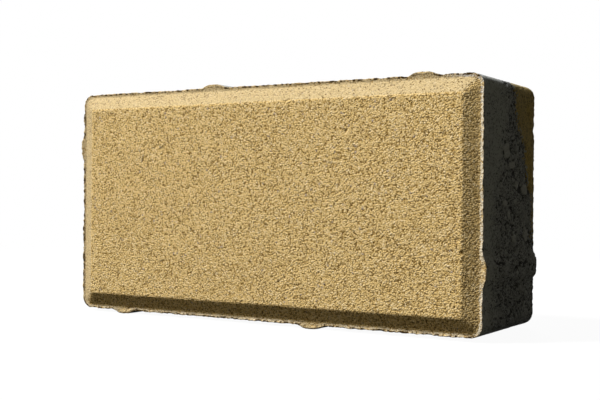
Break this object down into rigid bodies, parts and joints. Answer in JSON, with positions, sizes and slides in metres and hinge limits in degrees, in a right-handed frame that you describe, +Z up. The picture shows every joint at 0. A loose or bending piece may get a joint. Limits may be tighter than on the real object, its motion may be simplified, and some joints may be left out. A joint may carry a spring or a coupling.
{
  "type": "rectangular concrete paver",
  "caption": "Rectangular vibropressed concrete paving block with a chamfered sand-coloured wearing face, grey backing and spacer nibs on its sides.",
  "frame": {"origin": "on the floor, below the middle of the paver as it stands on a long side", "axes": "+X along the length, +Y through the thickness from the wearing face to the bed, +Z up across the width"},
  "size_m": [0.203, 0.06, 0.103],
  "materials": {
    "concrete": "sand-textured pressed concrete, ochre facing mix over grey backing"
  },
  "bodies": {
    "root": {"paver": "concrete"}
  },
  "joints": []
}
